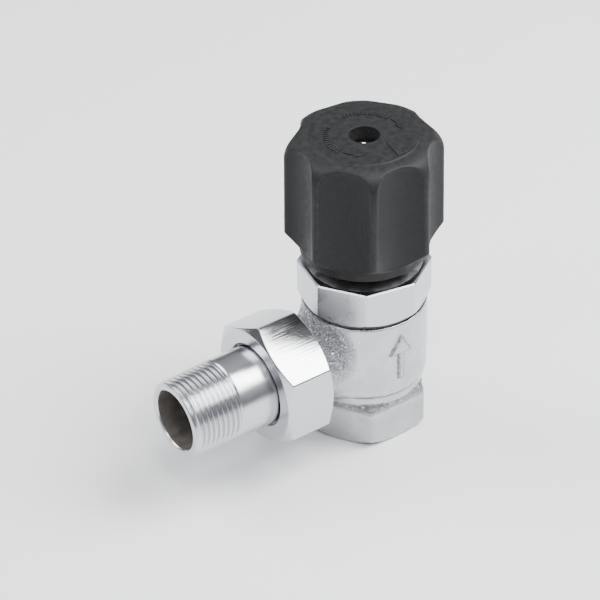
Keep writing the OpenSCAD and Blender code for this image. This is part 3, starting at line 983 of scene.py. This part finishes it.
def handwheel_shell():
    """Moulded handwheel: eight flutes that end in arches on a domed shoulder, hollow below."""
    shoulder = [(wheel_top_r - shoulder_r + x, shoulder_top - shoulder_r + y, 0)
                for x, y in (polar(shoulder_r, a) for a in range(0, 91, 6))]
    outline = fillet_outline(((wheel_inner_r, skirt_z, 0.3), (flute_floor_r - 0.1, skirt_z, 0.4),
                              (flute_floor_r + 0.4, skirt_z + 3.1, 1.2), (wheel_r, skirt_z + 7.1, 1.0),
                              *shoulder,
                              (wheel_face_r + 0.1, wheel_top - 0.3, 0.2),
                              (wheel_face_r - 0.2, wheel_top, 0.15),
                              (screw_hole_r, wheel_top, 0.35), (screw_hole_r, washer_z, 0),
                              (hub_bore_r, washer_z, 0), (hub_bore_r, hub_z, 0.2), (hub_r, hub_z, 0.5),
                              (hub_r, ceiling_z, 0.8), (wheel_inner_r, ceiling_z, 1.5)), 6, handwheel_step)
    columns = columns_per_flute * flutes
    obj = solid_lathe("handwheel_shell", outline, columns, "black_plastic", "stem_and_handwheel",
                      fluted, ("handwheel",))
    # The edge values carry wear, painted highlights, a painted lighter top and painted shade on the skirt.
    vertex_attribute(obj, "edge", handwheel_wear_and_painted_light(outline, columns).ravel())


def extruded(name, outlines, low, high, bevel, material, body):
    """Flat raised marks: closed anticlockwise outlines in the XY plane, with a bevel round the top edge."""
    vertices, faces = [], []
    for outline in outlines:
        outline = np.asarray(outline, float)
        count = len(outline)
        first = len(vertices)
        inner = inset(outline, bevel)
        for ring, z in ((outline, low), (outline, high - bevel), (inner, high)):
            vertices += [(x, y, z) for x, y in ring]
        for row in range(2):
            for j in range(count):
                k = (j + 1) % count
                a = first + row * count
                faces.append((a + j, a + k, a + count + k, a + count + j))
        faces.append(tuple(first + 2 * count + j for j in range(count)))
        faces.append(tuple(first + j for j in reversed(range(count))))
    obj = make_object(name, vertices, faces, material, body)
    obj.data.shade_flat()
    return obj


def inset(outline, distance):
    """Moves each corner of an anticlockwise outline inwards."""
    back = outline - np.roll(outline, 1, 0)
    ahead = np.roll(outline, -1, 0) - outline
    n0 = np.stack([-back[:, 1], back[:, 0]], 1) / np.linalg.norm(back, axis=1, keepdims=True)
    n1 = np.stack([-ahead[:, 1], ahead[:, 0]], 1) / np.linalg.norm(ahead, axis=1, keepdims=True)
    middle = n0 + n1
    middle /= np.maximum((middle * n0).sum(1, keepdims=True), 0.35)
    return outline + middle * distance


def arc_band(r_in, r_out, start, end, steps=24):
    """Closed anticlockwise outline of a band between two radii, from one angle to another in degrees."""
    angles = [start + (end - start) * i / steps for i in range(steps + 1)]
    return [polar(r_out, a) for a in angles] + [polar(r_in, a) for a in reversed(angles)]


def curved_arrow(ring_r, width, start, end, head):
    """Band and arrowhead of a curved arrow; head is 1 to point anticlockwise and -1 for clockwise."""
    tip = end if head > 0 else start
    middle = ring_r - width / 2
    root = tip - 0.4 * head
    point = [polar(middle - 1.4, root), polar(middle + 1.4, root), polar(middle, tip + 14 * head)]
    return arc_band(ring_r - width, ring_r, start, end), point[::head]


def handwheel_marks():
    """Generic marks on the handwheel: two curved arrows, graduated ticks and an index block."""
    ring_r = 12.6
    marks = []
    for start, end, head in ((201, 219, 1), (-9, 9, -1)):
        marks += curved_arrow(ring_r, 0.75, start, end, head)
    tick_r = ring_r - 1.3
    for first, step in ((193, -5.6), (17, 5.6)):
        for i in range(13):
            length = 2.5 - 0.12 * i
            angle = first + step * i
            marks.append(arc_band(tick_r, tick_r + length, angle - 1.25, angle + 1.25, 2))
    marks.append([(2.4, -8.3), (0.9, -16.3), (4.6, -16.1), (8.0, -14.9), (4.6, -8.6)])
    obj = extruded("handwheel_marks", marks, wheel_top - 0.2, wheel_top + mark_h - 0.02, 0.14,
                   "black_plastic", "stem_and_handwheel")
    vertex_attribute(obj, "edge", np.full(len(obj.data.vertices), 0.3))


def cross_recess(x, y):
    """Depth of a cross recess whose walls slope, and whose middle is a cone."""
    arm, half_width, depth = 2.8, 0.75, 1.8
    bar_x = np.maximum(np.abs(y) - half_width, np.abs(x) - arm)
    bar_y = np.maximum(np.abs(x) - half_width, np.abs(y) - arm)
    cone = (np.hypot(x, y) - 1.7) * 1.2
    return np.clip(-0.85 * np.minimum(np.minimum(bar_x, bar_y), cone), 0, depth)


def screw_head():
    """Pan-head screw with a cross recess."""
    high, low = screw_top, screw_foot
    head_r = span("handwheel_screw", X)[1]
    head_z = high - screw_head_h
    near_axis = 0.02
    outline = fillet_outline(((near_axis, high, 0), (3.5, high, 0.8), (head_r - 0.25, high - 0.3, 0.4),
                              (head_r, high - 1.3, 0.3), (head_r, head_z, 0.15),
                              (screw_shank_r, head_z, 0.1), (screw_shank_r, low + 0.4, 0.1),
                              (screw_shank_r - 0.4, low, 0.1), (near_axis, low, 0)), 4,
                             lambda p: 0.09 if p[0] < 4 and p[1] > high - 0.5 else 0.5)
    columns = 160
    points = lathe(outline, columns)
    x = points[..., X] * math.cos(screw_turn) + points[..., Y] * math.sin(screw_turn)
    y = points[..., Y] * math.cos(screw_turn) - points[..., X] * math.sin(screw_turn)
    points[..., Z] -= np.where(points[..., Z] > high - 0.6, cross_recess(x, y), 0)
    faces = grid_faces(len(outline), columns)
    obj = make_object("screw_cross_recess", points.reshape(-1, 3), faces, "zinc_steel",
                      "stem_and_handwheel", ("handwheel_screw",))
    fix_outward(obj)


def carried_over():
    """CAD nodes whose shape stays: they get their finished materials."""
    for entry in frame["record"]["subparts"]:
        slot = entry["material_slot"]
        if slot in MATERIALS:
            node = frame["nodes"][entry["node"]]
            node.data.materials.clear()
            node.data.materials.append(MATERIALS[slot])


# ---------------------------------------------------------------- studio
def camera():
    """A long lens from the outlet's side, above the valve, at the photograph's angle and slight lean."""
    azimuth, elevation, roll = math.radians(-35.294), math.radians(36.064), math.radians(-1.027)
    distance = 0.85
    aim = Vector((-0.02623, -0.00099, 0.05673))
    data = bpy.data.cameras.new("camera")
    data.sensor_width = 36
    data.lens = 160.764
    obj = bpy.data.objects.new("camera", data)
    bpy.context.scene.collection.objects.link(obj)
    back = Vector((math.sin(azimuth) * math.cos(elevation), -math.cos(azimuth) * math.cos(elevation),
                   math.sin(elevation)))
    level = Vector((math.cos(azimuth), math.sin(azimuth), 0))
    upright = back.cross(level)
    right = level * math.cos(roll) + upright * math.sin(roll)
    up = back.cross(right)
    turned = Matrix((right, up, back)).transposed().to_4x4()
    obj.matrix_world = Matrix.Translation(aim + back * distance) @ turned
    bpy.context.scene.camera = obj


def area_light(name, place, width, height, power):
    """A soft box that faces the valve."""
    valve = Vector((0, 0, 0.05))
    data = bpy.data.lights.new(name, "AREA")
    data.shape = "RECTANGLE"
    data.size = width
    data.size_y = height
    data.energy = power
    obj = bpy.data.objects.new(name, data)
    obj.location = place
    obj.rotation_euler = (valve - Vector(place)).to_track_quat("-Z", "Y").to_euler()
    bpy.context.scene.collection.objects.link(obj)


def room():
    """A soft grey-white room, paler towards the top."""
    world = bpy.data.worlds.new("studio")
    bpy.context.scene.world = world
    world.use_nodes = True
    coords = add(world, "ShaderNodeTexCoord")
    split = add(world, "ShaderNodeSeparateXYZ")
    join(world, coords, "Generated", split, "Vector")
    height = spread(world, split, "Z", 0, 1, -1, 1)
    colour = ramp(world, height, "Result", ((0.5, (0.10, 0.105, 0.115)), (0.68, (0.40, 0.41, 0.44)),
                                            (1.0, (0.75, 0.77, 0.82))))
    background = world.node_tree.nodes["Background"]
    background.inputs["Strength"].default_value = 1.0
    join(world, colour, "Color", background, "Color")


def pale_floor():
    """The plain floor, just under the valve."""
    size = 6.0
    mesh = bpy.data.meshes.new("floor")
    mesh.from_pydata([(-size, -size, 0), (size, -size, 0), (size, size, 0), (-size, size, 0)], [],
                     [(0, 1, 2, 3)])
    mesh.materials.append(new_material("floor", (0.86, 0.865, 0.87), 0.0, 0.6))
    floor = bpy.data.objects.new("floor", mesh)
    floor.location.z = -0.0001
    bpy.context.scene.collection.objects.link(floor)


def studio():
    """The room, the floor and five soft boxes."""
    room()
    area_light("key", (0.56, -0.34, 0.92), 0.6, 0.75, 24)
    area_light("fill", (-0.50, 0.70, 0.95), 0.8, 0.8, 12)
    area_light("front", (0.05, -0.80, 0.92), 0.95, 0.22, 5)
    area_light("left", (-0.95, -0.10, 1.02), 0.3, 0.5, 3)
    area_light("top", (-0.27, -0.38, 1.05), 0.3, 0.3, 3)
    pale_floor()


camera()
studio()
cast_body()
outlet_spigot()
inlet_thread()
tailpiece()
union_nut()
bonnet()
gland_nut()
handwheel_shell()
handwheel_marks()
screw_head()
carried_over()
